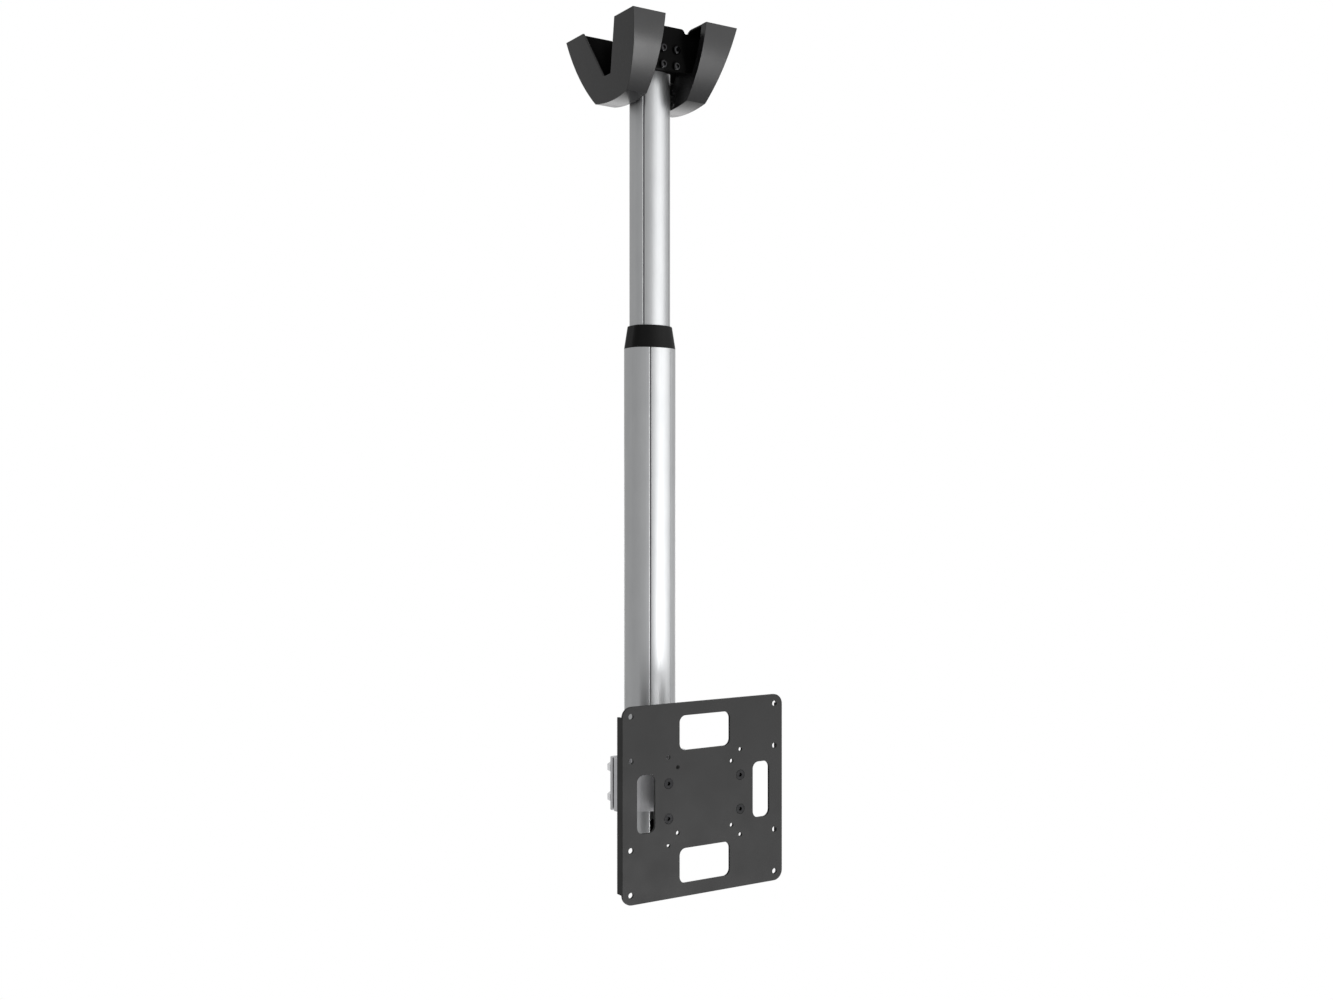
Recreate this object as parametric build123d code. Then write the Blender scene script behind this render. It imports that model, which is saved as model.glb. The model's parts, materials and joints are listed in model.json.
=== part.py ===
from build123d import *
import os
from math import hypot, sqrt

# Ceiling mount for a flat display, in millimetres, +Z up.
# The origin is on the ceiling plane at the column's axis. X runs across the display,
# the display faces -Y, and the mount hangs down along -Z.

# Column section: the upper tube's outline, from which the other sections grow
column_width = 48.0
column_front = 19.0
column_back = 16.5
front_radius = 34.0
column_corner = 9.5
upper_wall = 2.5
lower_wall = 3.2
column_gap = 3.4
upper_top = -48.0
upper_length = 600.0
lower_top = -384.7
lower_length = 600.0

# Snap-in cable covers in the tubes' fronts
upper_cover_half = 17.5
lower_cover_half = 14.0
cable_cover_wall = 2.0
seam = 0.4
lip_round = 1.2
snap_leg = 1.4
snap_lip = 0.6
snap_play = 0.3
snap_height = 1.0
cable_exit = 40.0

# Screw channels inside the upper tube
channel_r = 3.4
channel_bore_r = 2.0
channel_y = 7.0
channel_merge = 0.7

# Ceiling bracket, one folded sheet
sheet = 3.0
bend_r = 1.5
bracket_inner = 40.4
web_half = 18.0
relief_width = 13.5
relief_depth = 6.4
relief_slant = 4.5
relief_round = 1.5
wing_gap = 1.2
wing_round = 6.0
wall_foot = -53.5
tab_reach = 24.0
ceiling_slot_x = 46.0
ceiling_slot_y = 57.0
ceiling_slot_width = 7.0
ceiling_slot_length = 13.0
cable_hole_r = 8.5

# Moulded covers
cover_gap_half = 28.5
cover_outer = 73.6
cover_outer_foot = 56.0
cover_half_depth = 80.3
cover_mid_half = 65.8
cover_mid_z = -44.7
cover_foot_half = 37.6
cover_foot_z = -84.4
cover_sag = 4.0
cover_foot_round = 2.0
cover_wall = 2.2
cover_lip = 10.0
cover_top_gap = 0.5
notch_top_half = 37.5
notch_foot_half = 8.2
notch_foot_z = -58.2
notch_round = 2.0
shelf_x = 47.0
shelf_overhang = 2.5
shelf_low = -43.0
shelf_thickness = 3.0
hook_play = 0.2
mouth_play = 0.25
mouth_tongue = 9.0
cover_over = 11.0

# Column head between the bracket's walls
head_half_width = 17.0
head_top = -20.0
head_leg = 4.0
head_edge = 2.0
spigot_length = 60.0
spigot_play = 0.2
cable_slot_half = 10.0
cable_slot_depth = 9.0
head_bolt_x = 9.5
head_bolt_rows = (-28.5, -48.0)
head_bolt_r = 3.0
head_bolt_grip = 7.5
tube_screw_r = 2.5
tube_screw_rows = (-66.0, -80.0)
tube_screw_grip = 8.0
hole_play = 0.08

# Collar with its guide tongues, and the glide shoe
collar_height = 27.7
collar_top_grow = 2.3
collar_round = 1.8
slide_play = 0.35
seat_play = 0.1
guide_length = 28.0
guide_front_half = 10.0
shoe_height = 40.0
shoe_floor = 4.0
shoe_cable_r = 7.0
shoe_screw_grip = 14.0

# Height lock at the back of the lower tube
lock_drop = 58.0
lock_width = 24.0
lock_thickness = 11.0
lock_height = 56.0
lock_edge = 3.0
lock_screw_r = 4.0
lock_screw_pitch = 20.0
rivet_r = 2.0
rivet_pitch = 44.0
rivet_head_r = 3.6
rivet_head = 1.6
rivet_round = 1.0
rivet_flange = 1.2
pad_width = 20.0
pad_height = 42.0
pad_thickness = 2.5

# End cap
cap_flange = 4.0
cap_plug = 18.0
cap_wall = 2.5

# Clamp round the lower tube
head_rise = 72.7
clamp_height = 64.0
clamp_wall = 6.0
clamp_split = 3.0
clamp_ear = 16.0
clamp_ear_thickness = 9.0
clamp_ear_round = 5.0
clamp_bolt_r = 4.0
clamp_bolt_pitch = 36.0

# Swivel
barrel_r = 13.0
barrel_height = 44.0
neck = 5.0
neck_width = 22.0
pin_r = 6.0
pin_play = 0.06
pin_head_r = 10.0
pin_head_height = 5.0
pin_head_round = 1.2
washer_thickness = 1.5
yoke_sheet = 6.0
yoke_half = 26.0
yoke_gap = 4.0
yoke_eye_r = 14.0
yoke_bend = 8.0

# Tilt
tilt_reach = 20.0
tilt_eye_r = 13.0
tilt_ear = 6.0
tilt_bolt_r = 5.0
bracket_ear = 5.0
bracket_base = 4.0
bracket_base_height = 60.0
bracket_base_half = 62.0
bracket_corner = 4.0
bracket_offset = 24.0
plate_bolt_r = 3.0
plate_bolt_x = 50.0
plate_bolt_z = 20.0

# Display plate
plate_sheet = 3.0
plate_margin = 11.0
plate_corner = 12.0
plate_flange = 12.0
wide_pattern = 200.0
wide_hole_r = 3.3
narrow_patterns = (100.0, 75.0)
narrow_hole_r = 2.4
window_width = 70.0
window_height = 40.0
window_offset = 76.0
side_window_width = 24.0
side_window_height = 66.0
side_window_offset = 80.0
window_corner = 8.0

# Fastener shapes, as multiples of the shank's radius
cap_head_ratio = 1.65
cap_head_height = 1.2
cap_round_ratio = 0.5
socket_ratio = 0.85
socket_depth = 0.7
hex_ratio = 1.85
nut_height = 1.6

# Values worked out from the sizes above
lower_grow = column_gap + lower_wall
front_centre = front_radius - column_front
corner_x = column_width / 2 - column_corner
corner_y = front_centre - sqrt((front_radius - column_corner) ** 2 - corner_x**2)
upper_foot = upper_top - upper_length
lower_foot = lower_top - lower_length
head_z = lower_foot + head_rise
head_foot = upper_top - head_leg
plate_half = wide_pattern / 2 + plate_margin
shelf_inner = bracket_inner - shelf_overhang
shelf_high = shelf_low + shelf_thickness
lower_back = column_back + lower_grow
channel_x = column_width / 2 - upper_wall - channel_r + channel_merge
notch_slope = (notch_top_half - notch_foot_half) / -notch_foot_z
bracket_outer = bracket_inner + sheet
wing_start = web_half + relief_width
relief_middle = web_half + relief_width / 2
cover_lean = (cover_outer - cover_outer_foot) / -cover_foot_z
clamp_grow = lower_grow + seat_play
sleeve_half = column_width / 2 + clamp_grow + clamp_wall
clamp_bolt_x = sleeve_half + clamp_ear / 2
pin_y = -(column_front + clamp_grow + clamp_wall + neck + barrel_r)
web_back = pin_y - barrel_r - yoke_gap
web_front = web_back - yoke_sheet
tilt_y = web_front - tilt_reach
base_front = tilt_y - bracket_offset
plate_front = base_front - plate_sheet
ear_rise = barrel_height / 2 + washer_thickness
lock_z = lower_top - lock_drop
lock_screw_heights = (lock_z - lock_screw_pitch / 2, lock_z + lock_screw_pitch / 2)
rivet_heights = (lock_z - rivet_pitch / 2, lock_z + rivet_pitch / 2)
reach = 4 * cover_outer


def block(low, high):
    """Box between two corners."""
    size = [b - a for a, b in zip(low, high)]
    middle = [(a + b) / 2 for a, b in zip(low, high)]
    return Pos(*middle) * Box(*size)


def rod(radius, start, end):
    """Round bar between two points."""
    axis = Vector(*end) - Vector(*start)
    return extrude(Plane(origin=start, z_dir=axis) * Circle(radius), amount=axis.length)


def cap_screw(radius, length, seat, direction):
    """Cap-head screw: the head stands on the seat and the shank runs along direction."""
    head_r = cap_head_ratio * radius
    head_height = cap_head_height * radius
    head = extrude(Circle(head_r), amount=-head_height)
    head = fillet(head.edges().group_by(Axis.Z)[0], cap_round_ratio * radius)
    hexagon = RegularPolygon(socket_ratio * radius, 6)
    socket = extrude(Pos(0, 0, -head_height) * hexagon, amount=socket_depth * radius)
    shank = extrude(Circle(radius), amount=length)
    return Plane(origin=seat, z_dir=direction) * (head - socket + shank)


def hex_nut(radius, seat, direction):
    """Nut on a seat, with its height along direction and room for the thread."""
    flats = RegularPolygon(hex_ratio * radius, 6) - Circle(radius + hole_play)
    return Plane(origin=seat, z_dir=direction) * extrude(flats, amount=nut_height * radius)


def pair(pitch):
    """Two places on either side of a middle, a pitch apart."""
    return (-pitch / 2, pitch / 2)


def washer(outer, inner, seat, direction, thickness):
    """Flat ring on a seat."""
    ring = Circle(outer) - Circle(inner)
    return Plane(origin=seat, z_dir=direction) * extrude(ring, amount=thickness)


def front_y(x, grow):
    """Y of the round front at a place across, for an outline that is grown outward."""
    return front_centre - sqrt((front_radius + grow) ** 2 - x**2)


def column_face(grow):
    """The column's outline, grown outward all round: round front, flat sides and back, round corners."""
    half = column_width / 2 + grow
    side_y = front_y(half, grow)
    back_y = column_back + grow
    outline = [
        ThreePointArc((-half, side_y), (0, front_y(0, grow)), (half, side_y)),
        Line((half, side_y), (half, back_y)),
        Line((half, back_y), (-half, back_y)),
        Line((-half, back_y), (-half, side_y)),
    ]
    face = make_face(outline)
    return fillet(face.vertices(), column_corner + grow)


def column_prism(face, top, foot):
    """Face pushed from one height down to another."""
    return extrude(Pos(0, 0, foot) * face, amount=top - foot)


def front_strip(half, back_y, middle=0):
    """Rectangle that takes in everything in front of a line, on both sides of a middle."""
    return Pos(middle, back_y - reach / 2) * Rectangle(2 * half, reach)


def round_lip(face, x, grow):
    """Rounds the corner where a section's front meets the seam beside it."""
    corner = face.vertices().sort_by_distance((x, front_y(x, grow)))[0]
    return fillet(corner, lip_round)


def tube_face(grow, wall, opening_half):
    """Open channel section with a front mouth for the cable cover."""
    ring = column_face(grow) - column_face(grow - wall)
    return round_lip(ring - front_strip(opening_half, corner_y), -opening_half, grow)


def cable_cover_face(grow, wall, opening_half):
    """Bowed front strip with two snap legs. Its right edge sits tight, its left leaves a seam to pry at."""
    half = opening_half - (seam + seat_play) / 2
    middle = (seam - seat_play) / 2
    band = column_face(grow) - column_face(grow - cable_cover_wall)
    face = band & front_strip(half, corner_y, middle)
    leg_end = front_y(opening_half + snap_lip, grow - wall) + snap_play + snap_height
    leg_strip = front_strip(half, leg_end, middle) - front_strip(half - snap_leg, leg_end, middle)
    face += column_face(grow) & leg_strip
    for side in (-1, 1):
        barb_end = side * (opening_half + snap_lip)
        leg_inside = middle + side * (half - snap_leg)
        barb = Rectangle(abs(barb_end - leg_inside), snap_height)
        face += Pos((barb_end + leg_inside) / 2, leg_end - snap_height / 2) * barb
    return round_lip(face, middle - half, grow)


def upper_tube():
    section = tube_face(0, upper_wall, upper_cover_half)
    for side in (-1, 1):
        boss = Pos(side * channel_x, channel_y) * Circle(channel_r)
        section += boss & column_face(-upper_wall / 2)
    for side in (-1, 1):
        section -= Pos(side * channel_x, channel_y) * Circle(channel_bore_r)
    tube = column_prism(section, upper_top, upper_foot)
    for z in tube_screw_rows:
        tube -= rod(tube_screw_r + hole_play, (-column_width, 0, z), (column_width, 0, z))
    return tube


def upper_cable_cover():
    face = cable_cover_face(0, upper_wall, upper_cover_half)
    return column_prism(face, upper_top - seam, upper_foot + shoe_height + seam)


def lower_tube():
    section = tube_face(lower_grow, lower_wall, lower_cover_half)
    tube = column_prism(section, lower_top, lower_foot)
    back = lower_back + lower_wall
    inside = lower_back - 2 * lower_wall
    for z in lock_screw_heights:
        tube -= rod(lock_screw_r + hole_play, (0, inside, z), (0, back, z))
    for z in rivet_heights:
        tube -= rod(rivet_r + hole_play, (0, inside, z), (0, back, z))
    return tube


def lower_cable_cover():
    face = cable_cover_face(lower_grow, lower_wall, lower_cover_half)
    return column_prism(face, lower_top, head_z + clamp_height / 2 + cable_exit)


def guide_ring(inner, outer):
    """Ring between the tubes, open at the front corners where the cable cover's legs run."""
    ring = column_face(outer) - column_face(inner)
    rear = ring - front_strip(reach, corner_y + snap_height)
    return rear + (ring & front_strip(guide_front_half, corner_y))


def collar():
    foot = Pos(0, 0, lower_top) * column_face(lower_grow)
    top = Pos(0, 0, lower_top + collar_height) * column_face(collar_top_grow)
    shell = loft([foot, top], ruled=True)
    shell = fillet(shell.edges().group_by(Axis.Z)[-1], collar_round)
    shell -= column_prism(column_face(slide_play), lower_top + 2 * collar_height, lower_top - collar_height)
    tongues = guide_ring(slide_play, column_gap - seat_play)
    return shell + column_prism(tongues, lower_top, lower_top - guide_length)


def glide_shoe():
    outer = column_gap - slide_play
    floor_z = upper_foot - shoe_floor
    shoe = column_prism(guide_ring(seat_play, outer), upper_foot + shoe_height, floor_z)
    floor = column_face(outer) - front_strip(reach, corner_y + snap_height)
    floor += column_face(outer) & front_strip(guide_front_half, corner_y + 2 * snap_height)
    shoe += column_prism(floor, upper_foot, floor_z)
    shoe -= column_prism(Circle(shoe_cable_r), upper_foot, floor_z)
    for side in (-1, 1):
        x = side * channel_x
        shoe -= rod(channel_bore_r + hole_play, (x, channel_y, floor_z), (x, channel_y, upper_foot))
    return shoe


def glide_screws():
    seat_z = upper_foot - shoe_floor
    radius = channel_bore_r - hole_play
    return [
        cap_screw(radius, shoe_floor + shoe_screw_grip, (side * channel_x, channel_y, seat_z), (0, 0, 1))
        for side in (-1, 1)
    ]


def wing_face(side):
    """Section of a wing in Y and Z: the wall and the ceiling tab that is bent outward from it."""
    low = (side * bracket_inner, wall_foot)
    outside_bend = (side * bracket_inner, 0)
    tab_end = side * (bracket_outer + tab_reach)
    inside_bend = (side * bracket_outer, -sheet)
    foot = (side * bracket_outer, wall_foot)
    points = [low, outside_bend, (tab_end, 0), (tab_end, -sheet), inside_bend, foot]
    face = make_face(Polyline(*points, close=True))
    face = fillet(face.vertices().sort_by_distance(outside_bend)[0], bend_r + sheet)
    return fillet(face.vertices().sort_by_distance(inside_bend)[0], bend_r)


def web_face():
    """Section of the middle in Y and Z: an upside-down U."""
    outer = bracket_outer
    inner = bracket_inner
    points = [(-outer, wall_foot), (-outer, 0), (outer, 0), (outer, wall_foot)]
    face = make_face(Polyline(*points, close=True))
    face = fillet(face.vertices().group_by(Axis.Y)[-1], bend_r + sheet)
    points = [(-inner, wall_foot), (-inner, -sheet), (inner, -sheet), (inner, wall_foot)]
    hollow = make_face(Polyline(*points, close=True))
    return face - fillet(hollow.vertices().group_by(Axis.Y)[-1], bend_r)


def bracket_trim():
    """What lies between the covers' leaning sides and above the walls' foot, with round corners."""
    inset = (cover_wall + wing_gap) * hypot(1, cover_lean)
    top_half = cover_outer - inset + cover_lean * sheet
    foot_half = cover_outer - inset + cover_lean * wall_foot
    points = [(-top_half, sheet), (top_half, sheet), (foot_half, wall_foot), (-foot_half, wall_foot)]
    face = make_face(Polyline(*points, close=True))
    face = fillet(face.vertices().group_by(Axis.Y)[0], wing_round)
    return extrude(Plane.XZ * face, amount=reach, both=True)


def relief():
    """Cut through both walls between the web's folds and a wing's folds."""
    points = [
        (web_half, sheet),
        (web_half + relief_slant, -relief_depth),
        (wing_start - relief_slant, -relief_depth),
        (wing_start, sheet),
    ]
    face = make_face(Polyline(*points, close=True))
    face = fillet(face.vertices().group_by(Axis.Y)[0], relief_round)
    return extrude(Plane.XZ * face, amount=reach, both=True)


def ceiling_bracket():
    """One folded sheet: a web at the ceiling, two long walls and four ceiling tabs."""
    bracket = extrude(Plane.YZ * web_face(), amount=relief_middle, both=True)
    wing_length = cover_outer - relief_middle
    for side in (-1, 1):
        for start in (relief_middle, -cover_outer):
            bracket += extrude(Plane.YZ.offset(start) * wing_face(side), amount=wing_length)
    bracket -= [relief(), mirror(relief(), Plane.YZ)]
    return (bracket & bracket_trim()) - bracket_cuts()


def bracket_cuts():
    """Cable hole, open slots for the covers' shelves, ceiling slots and bolt holes."""
    cable_y = corner_y - cable_slot_depth / 2
    cuts = [rod(cable_hole_r, (0, cable_y, -sheet), (0, cable_y, sheet))]
    for side in (-1, 1):
        mouth = sorted((side * (shelf_x - hook_play), side * reach))
        low = (mouth[0], -reach, shelf_low - hook_play)
        cuts.append(block(low, (mouth[1], reach, shelf_high + hook_play)))
        for front in (-1, 1):
            slot = SlotOverall(ceiling_slot_length, ceiling_slot_width)
            place = Pos(side * ceiling_slot_x, front * ceiling_slot_y, 0)
            cuts.append(extrude(place * slot, amount=sheet, both=True))
        for z in head_bolt_rows:
            x = side * head_bolt_x
            cuts.append(rod(head_bolt_r + hole_play, (x, -reach, z), (x, reach, z)))
    return cuts


def cover_outline():
    """A cover's end view in Y and Z. It runs on above the ceiling plane, so that cuts clear the top."""
    half = cover_half_depth
    foot = cover_foot_half
    ends = [
        ThreePointArc((side * half, 0), (side * cover_mid_half, cover_mid_z), (side * foot, cover_foot_z))
        for side in (-1, 1)
    ]
    bottom = ThreePointArc((-foot, cover_foot_z), (0, cover_foot_z - cover_sag), (foot, cover_foot_z))
    top = Polyline((-half, 0), (-half, cover_over), (half, cover_over), (half, 0))
    return make_face([*ends, bottom, *top.edges()])


def cover_notch():
    """The V that is cut in a cover's side, in Y and Z, running on above the ceiling plane."""
    over = 2 * cover_over
    top = notch_top_half + notch_slope * over
    points = [(-top, over), (top, over), (notch_foot_half, notch_foot_z), (-notch_foot_half, notch_foot_z)]
    face = make_face(Polyline(*points, close=True))
    return fillet(face.vertices().group_by(Axis.Y)[0], notch_round)


def cover_prism(face, start, inset):
    """Face pushed across X from a start, and trimmed to the leaning outer side less an inset."""
    low = 2 * cover_foot_z
    high = -cover_foot_z
    lean_in = inset * hypot(1, cover_lean)
    profile = Polyline(
        (start, low),
        (start, high),
        (cover_outer + cover_lean * high - lean_in, high),
        (cover_outer + cover_lean * low - lean_in, low),
        close=True,
    )
    trim = extrude(Plane.XZ * make_face(profile), amount=reach, both=True)
    return extrude(Plane.YZ.offset(start) * face, amount=reach) & trim


def cover_mouth_room():
    """Room for the bracket in Y and Z: all above its foot, less a tongue that stands between its walls."""
    floor = wall_foot - mouth_play
    tongue = Rectangle(2 * (bracket_inner - mouth_play), 2 * mouth_tongue)
    return Pos(0, floor + reach / 2) * Rectangle(reach, reach) - Pos(0, floor) * tongue


def right_cover():
    """Hollow moulding, open above and round the bracket, with a V cut in its side and two shelves."""
    outline = cover_outline()
    hollow = offset(outline, -cover_wall, kind=Kind.INTERSECTION)
    corners = [v for v in outline.vertices() if abs(v.Y - cover_foot_z) < cover_wall]
    outer = cover_prism(fillet(corners, cover_foot_round), cover_gap_half, 0)
    outer -= block((-reach, -reach, -cover_top_gap), (reach, reach, reach))
    shell = outer - cover_prism(hollow, cover_gap_half + cover_wall, cover_wall)
    mouth = offset(outline, -cover_lip, kind=Kind.INTERSECTION) & cover_mouth_room()
    mouth_start = cover_gap_half - cover_wall
    shell -= extrude(Plane.YZ.offset(mouth_start) * mouth, amount=2 * cover_wall)
    for side in (-1, 1):
        near, far = sorted((side * shelf_inner, side * reach))
        shell += outer & block((shelf_x, near, shelf_low), (reach, far, shelf_high))
    return shell - extrude(Plane.YZ.offset(cover_gap_half) * cover_notch(), amount=reach)


def left_cover():
    return mirror(right_cover(), Plane.YZ)


def column_head():
    """Cast block between the bracket's walls, with short legs at both ends and a spigot inside the tube."""
    head = block((-head_half_width, -bracket_inner, head_foot), (head_half_width, bracket_inner, head_top))
    head = fillet(head.edges().filter_by(Axis.Y).group_by(Axis.Z)[-1], head_edge)
    leg_inner = bracket_inner - head_bolt_grip
    head -= block((-reach, -leg_inner, head_foot), (reach, leg_inner, upper_top))
    section = column_face(-upper_wall - spigot_play) - front_strip(reach, corner_y + snap_height)
    for side in (-1, 1):
        section -= Pos(side * channel_x, channel_y) * Circle(channel_r + spigot_play)
    head += column_prism(section, upper_top, upper_top - spigot_length)
    slot_front = corner_y - cable_slot_depth
    head -= block((-cable_slot_half, slot_front, head_foot), (cable_slot_half, corner_y, 0))
    for z in head_bolt_rows:
        for x in pair(2 * head_bolt_x):
            for front in (-1, 1):
                inner_end = (x, front * leg_inner, z)
                head -= rod(head_bolt_r + hole_play, (x, front * bracket_inner, z), inner_end)
    for z in tube_screw_rows:
        head -= rod(tube_screw_r + hole_play, (-column_width, 0, z), (column_width, 0, z))
    return head


def head_bolts():
    return [
        cap_screw(
            head_bolt_r,
            sheet + head_bolt_grip - 2 * hole_play,
            (side * head_bolt_x, front * bracket_outer, z),
            (0, -front, 0),
        )
        for z in head_bolt_rows
        for side in (-1, 1)
        for front in (-1, 1)
    ]


def tube_screws():
    return [
        cap_screw(
            tube_screw_r,
            upper_wall + tube_screw_grip,
            (side * column_width / 2, 0, z),
            (-side, 0, 0),
        )
        for z in tube_screw_rows
        for side in (-1, 1)
    ]


def lock_block():
    back = lower_back + lock_thickness
    low = (-lock_width / 2, lower_back, lock_z - lock_height / 2)
    body = block(low, (lock_width / 2, back, lock_z + lock_height / 2))
    body = fillet(body.edges().group_by(Axis.Y)[-1], lock_edge)
    for z in lock_screw_heights:
        body -= rod(lock_screw_r + hole_play, (0, lower_back, z), (0, back, z))
    for z in rivet_heights:
        body -= rod(rivet_r + hole_play, (0, lower_back, z), (0, back, z))
    return body


def lock_screws():
    pad_back = lower_back - lower_wall - column_gap + slide_play + pad_thickness
    seat = lower_back + lock_thickness
    return [cap_screw(lock_screw_r, seat - pad_back, (0, seat, z), (0, -1, 0)) for z in lock_screw_heights]


def lock_rivets():
    """Blind rivets through the block and the tube's wall, with domed heads."""
    seat = lower_back + lock_thickness
    inside = lower_back - lower_wall
    rivets = []
    for z in rivet_heights:
        head = rod(rivet_head_r, (0, seat, z), (0, seat + rivet_head, z))
        head = fillet(head.edges().group_by(Axis.Y)[-1], rivet_round)
        flange = rod(rivet_head_r, (0, inside, z), (0, inside - rivet_flange, z))
        rivets.append(head + flange + rod(rivet_r, (0, inside, z), (0, seat, z)))
    return rivets


def lock_pad():
    front = lower_back - lower_wall - column_gap + slide_play
    low = (-pad_width / 2, front, lock_z - pad_height / 2)
    pad = block(low, (pad_width / 2, front + pad_thickness, lock_z + pad_height / 2))
    for z in rivet_heights:
        room = rivet_head_r + seam
        pad -= rod(room, (0, front - pad_thickness, z), (0, front + 2 * pad_thickness, z))
    return pad


def end_cap():
    flange = column_prism(column_face(lower_grow), lower_foot, lower_foot - cap_flange)
    flange = fillet(flange.edges().group_by(Axis.Z)[0], cap_flange / 2)
    inside = column_gap - seat_play
    plug = column_face(inside) - column_face(inside - cap_wall)
    plug -= front_strip(lower_cover_half + seam, corner_y)
    return flange + column_prism(plug, lower_foot + cap_plug, lower_foot)


def clamp_half(side):
    """Half of the split clamp: side -1 is the front, with the swivel barrel, and 1 is the back."""
    sleeve = column_face(clamp_grow + clamp_wall)
    ear_half = sleeve_half + clamp_ear
    ear_depth = 2 * clamp_ear_thickness + clamp_split
    sleeve += RectangleRounded(2 * ear_half, ear_depth, clamp_ear_round)
    sleeve -= column_face(clamp_grow)
    sleeve -= Rectangle(reach, clamp_split)
    keep = Pos(0, side * reach / 2) * Rectangle(reach, reach)
    body = column_prism(sleeve & keep, head_z + clamp_height / 2, head_z - clamp_height / 2)
    for x, z in clamp_places():
        body -= rod(clamp_bolt_r + hole_play, (x, -reach, z), (x, reach, z))
    return body


def front_clamp():
    body = clamp_half(-1)
    barrel = Pos(0, pin_y) * Circle(barrel_r)
    join_y = pin_y + barrel_r + neck + clamp_wall / 2
    barrel += Pos(0, (pin_y + join_y) / 2) * Rectangle(neck_width, join_y - pin_y)
    body += column_prism(barrel, head_z + barrel_height / 2, head_z - barrel_height / 2)
    return body - rod(pin_r + pin_play, (0, pin_y, head_z - reach), (0, pin_y, head_z + reach))


def back_clamp():
    return clamp_half(1)


def clamp_places():
    """X and Z of each clamp bolt."""
    return [(x, head_z + rise) for x in pair(2 * clamp_bolt_x) for rise in pair(clamp_bolt_pitch)]


def clamp_bolts():
    seat = -(clamp_ear_thickness + clamp_split / 2)
    length = -2 * seat + nut_height * clamp_bolt_r + seam
    return [cap_screw(clamp_bolt_r, length, (x, seat, z), (0, 1, 0)) for x, z in clamp_places()]


def clamp_nuts():
    seat = clamp_ear_thickness + clamp_split / 2
    return [hex_nut(clamp_bolt_r, (x, seat, z), (0, 1, 0)) for x, z in clamp_places()]


def hull_of(*shapes):
    """Outline drawn tight round several shapes."""
    edges = ShapeList()
    for shape in shapes:
        edges += shape.edges()
    return make_hull(edges)


def swivel_yoke():
    """Strap bent round the barrel, with two upright ears in front for the tilt bolt."""
    back = pin_y + yoke_eye_r
    rise = ear_rise + yoke_sheet
    strap = [(web_front, -rise), (back, -rise), (back, rise), (web_front, rise)]
    strap = make_face(Polyline(*strap, close=True))
    strap = fillet(strap.vertices().group_by(Axis.X)[0], yoke_bend)
    room = [(web_back, -ear_rise), (back, -ear_rise), (back, ear_rise), (web_back, ear_rise)]
    room = make_face(Polyline(*room, close=True))
    strap -= fillet(room.vertices().group_by(Axis.X)[0], yoke_bend - yoke_sheet)
    body = extrude(Plane.YZ * (Pos(0, head_z) * strap), amount=yoke_half, both=True)
    web = Pos(0, (web_front + web_back) / 2) * Rectangle(2 * yoke_half, yoke_sheet)
    plan = hull_of(Pos(0, pin_y) * Circle(yoke_eye_r), web)
    body &= column_prism(plan, head_z + reach, head_z - reach)
    foot = Pos(web_front + tilt_ear / 2, head_z) * Rectangle(tilt_ear, 2 * ear_rise)
    ear = hull_of(Pos(tilt_y, head_z) * Circle(tilt_eye_r), foot)
    for start in (-yoke_half, yoke_half - tilt_ear):
        body += extrude(Plane.YZ.offset(start) * ear, amount=tilt_ear)
    body -= rod(pin_r + hole_play, (0, pin_y, head_z - reach), (0, pin_y, head_z + reach))
    return body - rod(tilt_bolt_r + hole_play, (-reach, tilt_y, head_z), (reach, tilt_y, head_z))


def swivel_washers():
    seats = (head_z + barrel_height / 2, head_z - barrel_height / 2 - washer_thickness)
    return [washer(barrel_r, pin_r + hole_play, (0, pin_y, z), (0, 0, 1), washer_thickness) for z in seats]


def swivel_pin():
    top = head_z + ear_rise + yoke_sheet
    foot = head_z - ear_rise - yoke_sheet - nut_height * pin_r - seam
    head = rod(pin_head_r, (0, pin_y, top), (0, pin_y, top + pin_head_height))
    head = fillet(head.edges().group_by(Axis.Z)[-1], pin_head_round)
    return head + rod(pin_r, (0, pin_y, foot), (0, pin_y, top))


def swivel_nut():
    return hex_nut(pin_r, (0, pin_y, head_z - ear_rise - yoke_sheet), (0, 0, -1))


def tilt_washers():
    hole = tilt_bolt_r + hole_play
    return [
        washer(tilt_eye_r, hole, (side * yoke_half, tilt_y, head_z), (side, 0, 0), washer_thickness)
        for side in (-1, 1)
    ]


def tilt_bolt():
    seat = yoke_half + washer_thickness + bracket_ear
    length = 2 * seat + nut_height * tilt_bolt_r + seam
    return cap_screw(tilt_bolt_r, length, (seat, tilt_y, head_z), (-1, 0, 0))


def tilt_nut():
    seat = yoke_half + washer_thickness + bracket_ear
    return hex_nut(tilt_bolt_r, (-seat, tilt_y, head_z), (-1, 0, 0))


def tilt_bracket():
    """Base plate behind the display plate, with two ears that hang on the tilt bolt."""
    base_back = base_front + bracket_base
    outline = RectangleRounded(2 * bracket_base_half, bracket_base_height, bracket_corner)
    base = extrude(Plane.XZ.offset(-base_back) * (Pos(0, head_z) * outline), amount=bracket_base)
    foot_height = bracket_base_height - 2 * bracket_ear
    foot = Pos(base_back - bracket_base / 2, head_z) * Rectangle(bracket_base, foot_height)
    ear = hull_of(Pos(tilt_y, head_z) * Circle(tilt_eye_r), foot)
    inner = yoke_half + washer_thickness
    for start in (-inner - bracket_ear, inner):
        base += extrude(Plane.YZ.offset(start) * ear, amount=bracket_ear)
    base -= rod(tilt_bolt_r + pin_play, (-reach, tilt_y, head_z), (reach, tilt_y, head_z))
    for x, z in plate_screw_places():
        base -= rod(plate_bolt_r + hole_play, (x, base_front, z), (x, base_back, z))
    return base


def plate_screw_places():
    """X and Z of the screws that join the display plate to the tilt bracket."""
    return [(x, head_z + rise) for x in pair(2 * plate_bolt_x) for rise in pair(2 * plate_bolt_z)]


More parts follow.
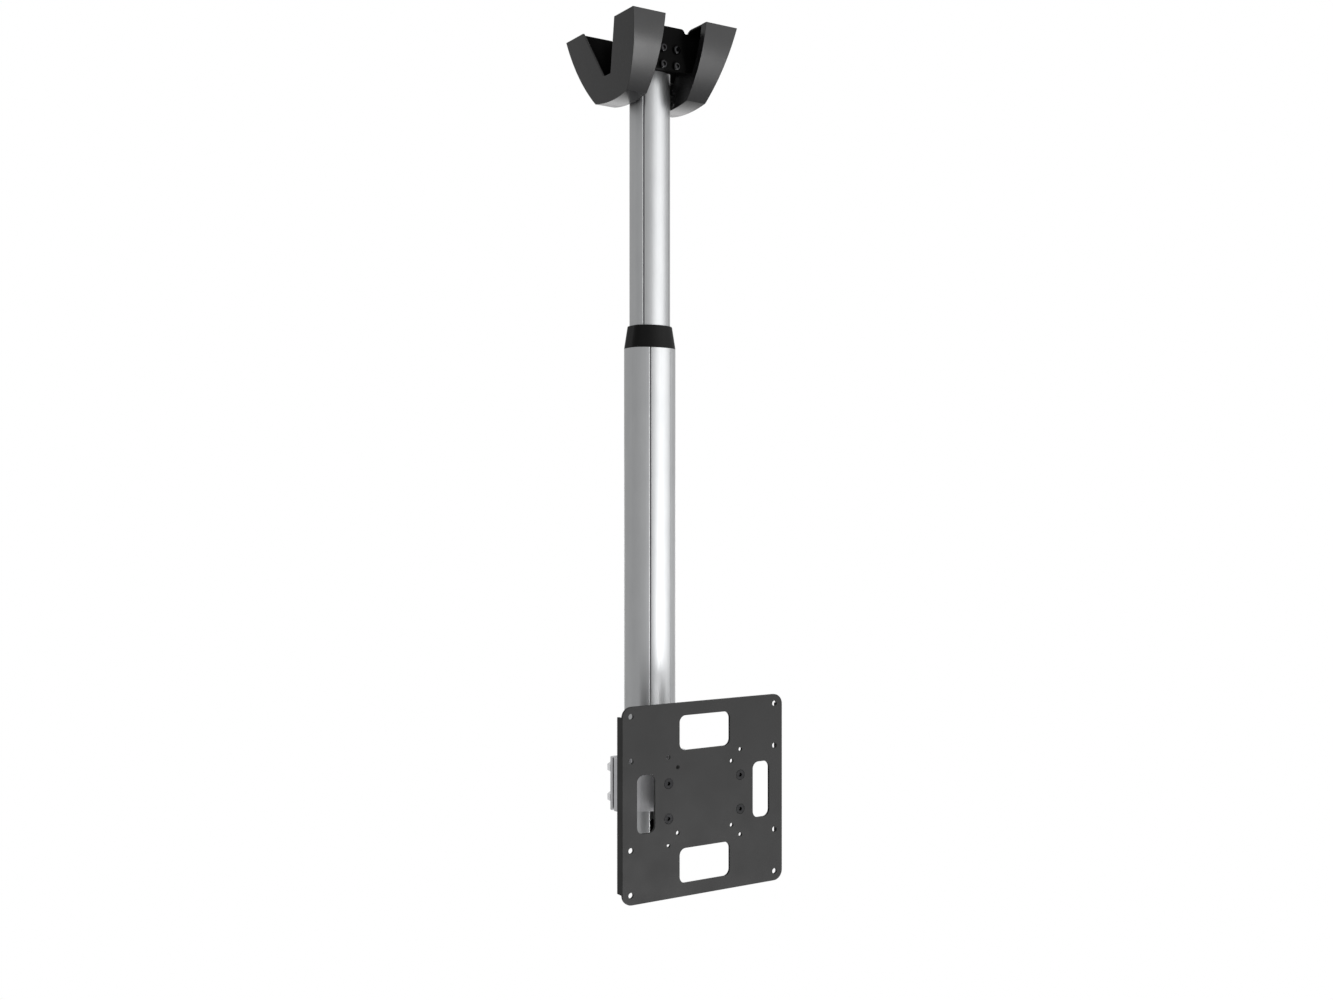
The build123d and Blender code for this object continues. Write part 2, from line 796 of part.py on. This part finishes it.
def countersunk(radius, seat):
    """Screw along +Y through the plate and the base behind it, with a flat head flush at the seat."""
    length = plate_sheet + bracket_base
    points = [(0, 0), (0, length), (radius, length), (radius, plate_sheet), (radius + plate_sheet, 0)]
    half = make_face(Polyline(*points, close=True))
    return Pos(*seat) * revolve(half, Axis.Y)


def plate_screws():
    return [countersunk(plate_bolt_r, (x, plate_front, z)) for x, z in plate_screw_places()]


def display_plate():
    """Square plate with folded side flanges, windows and the display's hole patterns."""
    face = RectangleRounded(2 * plate_half, 2 * plate_half, plate_corner)
    for x in pair(wide_pattern):
        for z in (*pair(wide_pattern), *pair(wide_pattern / 2)):
            face -= Pos(x, z) * Circle(wide_hole_r)
    for pattern in narrow_patterns:
        for x in pair(pattern):
            for z in pair(pattern):
                face -= Pos(x, z) * Circle(narrow_hole_r)
    window = RectangleRounded(window_width, window_height, window_corner)
    side_window = RectangleRounded(side_window_width, side_window_height, window_corner)
    for side in (-1, 1):
        face -= Pos(0, side * window_offset) * window
        face -= Pos(side * side_window_offset, 0) * side_window
    plate = extrude(Plane.XZ.offset(-base_front) * (Pos(0, head_z) * face), amount=plate_sheet)
    flange_half = plate_half - plate_corner
    for low_x in (-plate_half, plate_half - plate_sheet):
        plate += block(
            (low_x, plate_front, head_z - flange_half),
            (low_x + plate_sheet, plate_front + plate_flange, head_z + flange_half),
        )
    for x, z in plate_screw_places():
        plate -= countersunk(plate_bolt_r + hole_play, (x, plate_front, z))
    return plate


makers = [
    ceiling_bracket,
    left_cover,
    right_cover,
    column_head,
    head_bolts,
    upper_tube,
    upper_cable_cover,
    tube_screws,
    glide_shoe,
    glide_screws,
    lower_tube,
    lower_cable_cover,
    collar,
    lock_block,
    lock_screws,
    lock_rivets,
    lock_pad,
    end_cap,
    front_clamp,
    back_clamp,
    clamp_bolts,
    clamp_nuts,
    swivel_yoke,
    swivel_washers,
    swivel_pin,
    swivel_nut,
    tilt_washers,
    tilt_bolt,
    tilt_nut,
    tilt_bracket,
    plate_screws,
    display_plate,
]

os.makedirs("parts", exist_ok=True)
for make in makers:
    made = make()
    solids = [s for item in made for s in item.solids()] if isinstance(made, list) else made.solids()
    piece = solids[0] if len(solids) == 1 else Compound(children=list(solids))
    export_step(piece, f"parts/{make.__name__}.step")
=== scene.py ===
import json
from math import atan2, cos, pi, radians, sin

import bmesh
import bpy
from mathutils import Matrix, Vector


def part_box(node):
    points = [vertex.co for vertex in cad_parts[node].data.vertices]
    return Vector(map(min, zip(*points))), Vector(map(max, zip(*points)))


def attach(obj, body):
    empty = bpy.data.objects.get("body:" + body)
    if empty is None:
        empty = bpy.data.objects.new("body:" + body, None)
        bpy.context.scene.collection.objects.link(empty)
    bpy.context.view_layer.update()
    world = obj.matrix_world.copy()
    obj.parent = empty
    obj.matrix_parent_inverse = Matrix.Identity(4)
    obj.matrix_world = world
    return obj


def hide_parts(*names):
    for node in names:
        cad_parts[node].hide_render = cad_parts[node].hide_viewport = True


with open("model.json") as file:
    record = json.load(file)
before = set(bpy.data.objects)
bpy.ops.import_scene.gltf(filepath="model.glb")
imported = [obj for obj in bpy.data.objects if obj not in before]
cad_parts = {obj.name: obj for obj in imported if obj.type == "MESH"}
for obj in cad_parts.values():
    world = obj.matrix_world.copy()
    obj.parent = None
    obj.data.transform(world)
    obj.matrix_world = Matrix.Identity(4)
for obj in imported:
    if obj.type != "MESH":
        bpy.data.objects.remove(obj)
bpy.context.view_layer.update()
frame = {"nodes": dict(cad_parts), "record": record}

# Camera, from the photograph's perspective
CAMERA_PLACE = (-0.931, -1.4925, -0.5695)
VIEW_DIRECTION = (0.5388, 0.8424)
LEVEL = radians(90.0)
LENS = 38.76
SENSOR = 36.0
CLIP_END = 50.0

# Floor, far below, and the share of it that is plain white to the camera and in reflections
FLOOR_Z = -4.8
FLOOR_HALF = 3.5
FLOOR_GLOW = 0.93

# Studio: its tone for the light that reaches matt surfaces, and its lamps
STUDIO_TONE = 0.5
LAMPS = (
    {
        "name": "key",
        "place": (1.73, -3.77, -3.1),
        "target": (0.0, -0.05, -0.05),
        "width": 0.85,
        "height": 3.0,
        "power": 265.0,
    },
    {
        "name": "softbox",
        "place": (1.785, -2.41, -0.4),
        "target": (0.0, 0.0, -0.4),
        "width": 3.0,
        "height": 4.0,
        "power": 100.0,
    },
    {
        "name": "low_back",
        "place": (1.5, 2.4, -0.95),
        "target": (0.0, 0.0, -0.1),
        "width": 4.0,
        "height": 1.0,
        "power": 18.0,
    },
)

# Part of a noise's range over which a finish changes
CHANGE_START = 0.3
CHANGE_END = 0.7

# Copies of the nodes: gap below which points merge, angle below which faces merge, and angle of an edge
MERGE_GAP = 1e-6
FLAT_ANGLE = radians(0.2)
EDGE_ANGLE = radians(30.0)
EDGE_STEPS = 2

# Width of the rounded edges on each copy
EDGES = {
    "left_cover": 0.0007,
    "right_cover": 0.0007,
    "upper_tube": 0.0003,
    "upper_cable_cover": 0.0003,
    "lower_tube": 0.0003,
    "lower_cable_cover": 0.0003,
    "collar": 0.0004,
    "ceiling_bracket": 0.0003,
    "column_head": 0.0005,
    "head_bolts": 0.0002,
    "display_plate": 0.0004,
    "tilt_bracket": 0.0004,
    "swivel_yoke": 0.0005,
    "front_clamp": 0.0006,
    "back_clamp": 0.0006,
    "clamp_bolts": 0.0002,
    "clamp_nuts": 0.0003,
    "swivel_pin": 0.0003,
    "swivel_nut": 0.0003,
    "tilt_bolt": 0.0002,
    "tilt_nut": 0.0003,
    "lock_block": 0.0003,
    "lock_screws": 0.0002,
    "end_cap": 0.0003,
}

# Nodes whose black steel is painted darker and duller than their slot's, as painted shade for the recess
# between the covers
PAINTED_SHADE_NODES = ("ceiling_bracket", "column_head")

# The plate's countersunk screws
SCREW_NODE = "plate_screws"
SCREW_SLOT = "dark_bolts"
SCREW_HEAD_R = 0.006
SCREW_SHANK_R = 0.003
SCREW_EDGE = 0.0002
SOCKET_HALF = 0.002
SOCKET_DEPTH = 0.0022
SOCKET_SIDES = 6
RING_POINTS = 48


def grey(tone):
    """Neutral colour of one tone."""
    return (tone, tone, tone)


def material(name, base, metallic, roughness, specular=0.5):
    """Principled material with its constant values on the sockets."""
    mat = bpy.data.materials.new(name)
    mat.use_nodes = True
    shader = mat.node_tree.nodes["Principled BSDF"]
    shader.inputs["Base Color"].default_value = (*base, 1.0)
    shader.inputs["Metallic"].default_value = metallic
    shader.inputs["Roughness"].default_value = roughness
    shader.inputs["Specular IOR Level"].default_value = specular
    return mat, mat.node_tree, shader


def object_coordinates(tree, along=1.0):
    """Object coordinates in metres, with a scale of their own along Z."""
    coordinates = tree.nodes.new("ShaderNodeTexCoord")
    mapping = tree.nodes.new("ShaderNodeMapping")
    mapping.inputs["Scale"].default_value = (1.0, 1.0, along)
    tree.links.new(coordinates.outputs["Object"], mapping.inputs["Vector"])
    return mapping.outputs["Vector"]


def noise(tree, vector, scale, detail=3.0, rough=0.55):
    """Noise texture on the given coordinates."""
    node = tree.nodes.new("ShaderNodeTexNoise")
    node.inputs["Scale"].default_value = scale
    node.inputs["Detail"].default_value = detail
    node.inputs["Roughness"].default_value = rough
    tree.links.new(vector, node.inputs["Vector"])
    return node.outputs["Fac"]


def vary_colour(tree, shader, factor, dark, light):
    """Base colour that runs between two tones with a factor."""
    ramp = tree.nodes.new("ShaderNodeValToRGB")
    ramp.color_ramp.elements[0].position = CHANGE_START
    ramp.color_ramp.elements[1].position = CHANGE_END
    ramp.color_ramp.elements[0].color = (*dark, 1.0)
    ramp.color_ramp.elements[1].color = (*light, 1.0)
    tree.links.new(factor, ramp.inputs["Fac"])
    tree.links.new(ramp.outputs["Color"], shader.inputs["Base Color"])


def vary_roughness(tree, shader, factor, low, high):
    """Roughness that runs between two values with a factor."""
    span = tree.nodes.new("ShaderNodeMapRange")
    span.inputs["From Min"].default_value = CHANGE_START
    span.inputs["From Max"].default_value = CHANGE_END
    span.inputs["To Min"].default_value = low
    span.inputs["To Max"].default_value = high
    tree.links.new(factor, span.inputs["Value"])
    tree.links.new(span.outputs["Result"], shader.inputs["Roughness"])


def add_bump(tree, shader, height, strength, distance):
    """Surface relief from a height."""
    bump = tree.nodes.new("ShaderNodeBump")
    bump.inputs["Strength"].default_value = strength
    bump.inputs["Distance"].default_value = distance
    tree.links.new(height, bump.inputs["Height"])
    tree.links.new(bump.outputs["Normal"], shader.inputs["Normal"])


def larger(tree, first, second):
    """Larger of two values."""
    node = tree.nodes.new("ShaderNodeMath")
    node.operation = "MAXIMUM"
    tree.links.new(first, node.inputs[0])
    tree.links.new(second, node.inputs[1])
    return node.outputs["Value"]


def part_of(tree, value, share):
    """Fixed share of a value."""
    node = tree.nodes.new("ShaderNodeMath")
    node.operation = "MULTIPLY"
    node.inputs[1].default_value = share
    tree.links.new(value, node.inputs[0])
    return node.outputs["Value"]


def background_ray(tree):
    """One for camera, glossy and transmission rays, which see the white background, and zero for the rest."""
    path = tree.nodes.new("ShaderNodeLightPath")
    clear = larger(tree, path.outputs["Is Camera Ray"], path.outputs["Is Transmission Ray"])
    return larger(tree, clear, path.outputs["Is Glossy Ray"])


def satin_aluminium():
    """Anodised extrusion: die lines that run along Z and a fine even bloom."""
    mat, tree, shader = material("satin_aluminium", base=(0.28, 0.284, 0.288), metallic=1.0, roughness=0.42)
    lines = noise(tree, object_coordinates(tree, along=0.004), scale=900.0, detail=4.0)
    bloom = noise(tree, object_coordinates(tree, along=0.35), scale=60.0)
    vary_colour(tree, shader, bloom, dark=(0.27, 0.274, 0.278), light=(0.29, 0.294, 0.298))
    vary_roughness(tree, shader, lines, low=0.38, high=0.46)
    add_bump(tree, shader, lines, strength=0.05, distance=0.0002)
    return mat


def grained_plastic(name, dark, light, low, high, grain, depth, specular):
    """Moulded plastic with a fine spark-eroded grain."""
    mat, tree, shader = material(name, base=dark, metallic=0.0, roughness=low, specular=specular)
    vector = object_coordinates(tree)
    mottle = noise(tree, vector, scale=45.0)
    fine = noise(tree, vector, scale=grain, detail=2.0)
    vary_colour(tree, shader, mottle, dark, light)
    vary_roughness(tree, shader, fine, low, high)
    add_bump(tree, shader, fine, strength=depth, distance=0.0003)
    return mat


def powder_coat(name, dark, light, specular):
    """Black powder coat with a slight orange peel."""
    mat, tree, shader = material(name, base=dark, metallic=0.0, roughness=0.5, specular=specular)
    vector = object_coordinates(tree)
    peel = noise(tree, vector, scale=420.0, detail=2.0)
    tone = noise(tree, vector, scale=30.0)
    vary_colour(tree, shader, tone, dark, light)
    vary_roughness(tree, shader, tone, low=0.44, high=0.54)
    add_bump(tree, shader, peel, strength=0.12, distance=0.0004)
    return mat


def plated_steel():
    """Zinc-plated fastener steel with faint clouding."""
    mat, tree, shader = material("plated_steel", base=(0.55, 0.55, 0.56), metallic=1.0, roughness=0.3)
    vector = object_coordinates(tree)
    cloud = noise(tree, vector, scale=220.0)
    grain = noise(tree, vector, scale=1400.0, detail=2.0)
    vary_colour(tree, shader, cloud, dark=(0.48, 0.48, 0.49), light=(0.62, 0.62, 0.63))
    vary_roughness(tree, shader, cloud, low=0.24, high=0.36)
    add_bump(tree, shader, grain, strength=0.04, distance=0.0002)
    return mat


def dark_bolts():
    """Black-oxide fastener steel with a light film of oil."""
    mat, tree, shader = material("dark_bolts", base=(0.0125, 0.0125, 0.013), metallic=1.0, roughness=0.06)
    cloud = noise(tree, object_coordinates(tree), scale=260.0)
    vary_colour(tree, shader, cloud, dark=(0.010, 0.010, 0.0105), light=(0.015, 0.015, 0.0155))
    vary_roughness(tree, shader, cloud, low=0.04, high=0.08)
    return mat


def cast_aluminium():
    """Blasted casting with an even open grain."""
    mat, tree, shader = material("cast_aluminium", base=(0.36, 0.36, 0.37), metallic=1.0, roughness=0.5)
    vector = object_coordinates(tree)
    grain = noise(tree, vector, scale=900.0, detail=4.0, rough=0.65)
    tone = noise(tree, vector, scale=40.0)
    vary_colour(tree, shader, tone, dark=(0.33, 0.33, 0.34), light=(0.40, 0.40, 0.41))
    vary_roughness(tree, shader, grain, low=0.44, high=0.58)
    add_bump(tree, shader, grain, strength=0.18, distance=0.0004)
    return mat


MATERIALS = {
    "satin_aluminium": satin_aluminium(),
    "cover_plastic": grained_plastic(
        "cover_plastic",
        dark=(0.008, 0.008, 0.0083),
        light=(0.010, 0.010, 0.0103),
        low=0.21,
        high=0.29,
        grain=1800.0,
        depth=0.08,
        specular=0.20,
    ),
    "black_plastic": grained_plastic(
        "black_plastic",
        dark=grey(0.003),
        light=grey(0.004),
        low=0.40,
        high=0.50,
        grain=1500.0,
        depth=0.10,
        specular=0.06,
    ),
    "black_steel": powder_coat("black_steel", dark=grey(0.006), light=grey(0.009), specular=0.11),
    # Painted shade: a darker, duller copy of the black steel for the parts in the shaded recess between the
    # covers
    "painted_shade_steel": powder_coat("painted_shade_steel", dark=grey(0.0018), light=grey(0.0026), specular=0.013),
    "plated_steel": plated_steel(),
    "dark_bolts": dark_bolts(),
    "cast_aluminium": cast_aluminium(),
}

node_slots = {row["node"]: row["material_slot"] for row in frame["record"]["subparts"]}
node_bodies = {n: b for b, nodes in frame["record"]["behaviour"]["bodies"].items() for n in nodes}


def placed(name, data):
    """New object in the scene with the given data."""
    obj = bpy.data.objects.new(name, data)
    bpy.context.scene.collection.objects.link(obj)
    return obj


def write_smooth(shape, mesh):
    """Writes a shape into a mesh, with its faces turned outward and shaded smooth."""
    bmesh.ops.recalc_face_normals(shape, faces=shape.faces)
    for face in shape.faces:
        face.smooth = True
    shape.to_mesh(mesh)
    shape.free()


def dress(obj, node):
    """Gives an object the finish of a node."""
    # The bracket and head get the painted shade copy of the black steel instead of their slot's
    finish = "painted_shade_steel" if node in PAINTED_SHADE_NODES else node_slots[node]
    obj.data.materials.clear()
    obj.data.materials.append(MATERIALS[finish])


def refined(node, width):
    """Copy of a CAD node with merged faces, rounded edges and smooth shading, shown in the node's place."""
    mesh = frame["nodes"][node].data.copy()
    mesh.name = "fine_" + node
    normals = mesh.attributes.get("custom_normal")
    if normals:
        mesh.attributes.remove(normals)
    shape = bmesh.new()
    shape.from_mesh(mesh)
    bmesh.ops.remove_doubles(shape, verts=shape.verts, dist=MERGE_GAP)
    bmesh.ops.dissolve_limit(
        shape,
        angle_limit=FLAT_ANGLE,
        use_dissolve_boundaries=False,
        verts=shape.verts,
        edges=shape.edges,
    )
    write_smooth(shape, mesh)
    piece = placed("fine_" + node, mesh)
    bevel = piece.modifiers.new("edges", "BEVEL")
    bevel.width = width
    bevel.segments = EDGE_STEPS
    bevel.limit_method = "ANGLE"
    bevel.angle_limit = EDGE_ANGLE
    bevel.harden_normals = True
    dress(piece, node)
    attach(piece, node_bodies[node])
    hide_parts(node)


def screw_ring(shape, seat, radius, depth, sides=0):
    """Ring of points at a depth behind the seat: round, or on the sides of a polygon."""
    ring = []
    for step in range(RING_POINTS):
        angle = 2 * pi * step / RING_POINTS
        reach = radius
        if sides:
            reach = radius / cos(angle % (2 * pi / sides) - pi / sides)
        ring.append(shape.verts.new(seat + Vector((reach * cos(angle), depth, reach * sin(angle)))))
    return ring


def countersunk_screw(shape, seat, length):
    """Countersunk screw along +Y with a hexagon socket in its flat head."""
    rings = [
        screw_ring(shape, seat, SCREW_SHANK_R, length),
        screw_ring(shape, seat, SCREW_SHANK_R, SCREW_HEAD_R - SCREW_SHANK_R),
        screw_ring(shape, seat, SCREW_HEAD_R - SCREW_EDGE, SCREW_EDGE),
        screw_ring(shape, seat, SCREW_HEAD_R - 2 * SCREW_EDGE, 0.0),
        screw_ring(shape, seat, SOCKET_HALF + SCREW_EDGE, 0.0, SOCKET_SIDES),
        screw_ring(shape, seat, SOCKET_HALF, SCREW_EDGE, SOCKET_SIDES),
        screw_ring(shape, seat, SOCKET_HALF, SOCKET_DEPTH, SOCKET_SIDES),
    ]
    shape.faces.new(rings[0])
    shape.faces.new(rings[-1])
    for outer, inner in zip(rings, rings[1:]):
        for step in range(RING_POINTS):
            ahead = (step + 1) % RING_POINTS
            shape.faces.new((outer[step], outer[ahead], inner[ahead], inner[step]))


def socket_screws():
    """The plate's four screws with their sockets, shown in the node's place."""
    low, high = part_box(SCREW_NODE)
    shape = bmesh.new()
    for x in (low[0] + SCREW_HEAD_R, high[0] - SCREW_HEAD_R):
        for z in (low[2] + SCREW_HEAD_R, high[2] - SCREW_HEAD_R):
            countersunk_screw(shape, Vector((x, low[1], z)), high[1] - low[1])
    mesh = bpy.data.meshes.new("socket_screws")
    write_smooth(shape, mesh)
    mesh.set_sharp_from_angle(angle=EDGE_ANGLE)
    mesh.materials.append(MATERIALS[SCREW_SLOT])
    piece = placed("socket_screws", mesh)
    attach(piece, node_bodies[SCREW_NODE])
    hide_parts(SCREW_NODE)


def add_floor():
    """Floor far below that looks pale to the camera and in reflections."""
    mesh = bpy.data.meshes.new("floor")
    half = FLOOR_HALF
    corners = [(-half, -half, FLOOR_Z), (half, -half, FLOOR_Z), (half, half, FLOOR_Z), (-half, half, FLOOR_Z)]
    mesh.from_pydata(corners, [], [(0, 1, 2, 3)])
    floor = placed("floor", mesh)
    mat, tree, shader = material("pale_floor", base=grey(0.8), metallic=0.0, roughness=0.9)
    grain = noise(tree, object_coordinates(tree), scale=8.0)
    vary_colour(tree, shader, grain, dark=grey(0.78), light=grey(0.82))
    glow = tree.nodes.new("ShaderNodeEmission")
    mix = tree.nodes.new("ShaderNodeMixShader")
    tree.links.new(part_of(tree, background_ray(tree), FLOOR_GLOW), mix.inputs["Fac"])
    tree.links.new(shader.outputs["BSDF"], mix.inputs[1])
    tree.links.new(glow.outputs["Emission"], mix.inputs[2])
    tree.links.new(mix.outputs["Shader"], tree.nodes["Material Output"].inputs["Surface"])
    floor.data.materials.append(mat)


def add_world():
    """White to the camera and in reflections. For the rest, a soft even studio."""
    world = bpy.data.worlds.new("studio")
    bpy.context.scene.world = world
    world.use_nodes = True
    tree = world.node_tree
    studio = tree.nodes["Background"]
    studio.inputs["Color"].default_value = (*grey(STUDIO_TONE), 1.0)
    white = tree.nodes.new("ShaderNodeBackground")
    white.inputs["Color"].default_value = (*grey(1.0), 1.0)
    mix = tree.nodes.new("ShaderNodeMixShader")
    tree.links.new(background_ray(tree), mix.inputs["Fac"])
    tree.links.new(studio.outputs["Background"], mix.inputs[1])
    tree.links.new(white.outputs["Background"], mix.inputs[2])
    tree.links.new(mix.outputs["Shader"], tree.nodes["World Output"].inputs["Surface"])


def area_light(name, place, target, width, height, power):
    """Soft box that faces a target, unseen by the camera."""
    lamp = bpy.data.lights.new(name, "AREA")
    lamp.shape = "RECTANGLE"
    lamp.size = width
    lamp.size_y = height
    lamp.energy = power
    obj = placed(name, lamp)
    obj.location = place
    obj.rotation_euler = (Vector(target) - Vector(place)).to_track_quat("-Z", "Y").to_euler()
    obj.visible_camera = False


def add_camera():
    """Level camera at the photograph's place."""
    data = bpy.data.cameras.new("camera")
    data.lens = LENS
    data.sensor_width = SENSOR
    data.clip_end = CLIP_END
    camera = placed("camera", data)
    camera.location = CAMERA_PLACE
    across, ahead = VIEW_DIRECTION
    camera.rotation_euler = (LEVEL, 0.0, atan2(-across, ahead))
    bpy.context.scene.camera = camera


for node, width in EDGES.items():
    refined(node, width)
socket_screws()
for node, obj in frame["nodes"].items():
    if node not in EDGES and node != SCREW_NODE:
        dress(obj, node)

add_floor()
add_world()
for lamp_row in LAMPS:
    area_light(**lamp_row)
add_camera()

bpy.context.scene.view_settings.view_transform = "Standard"
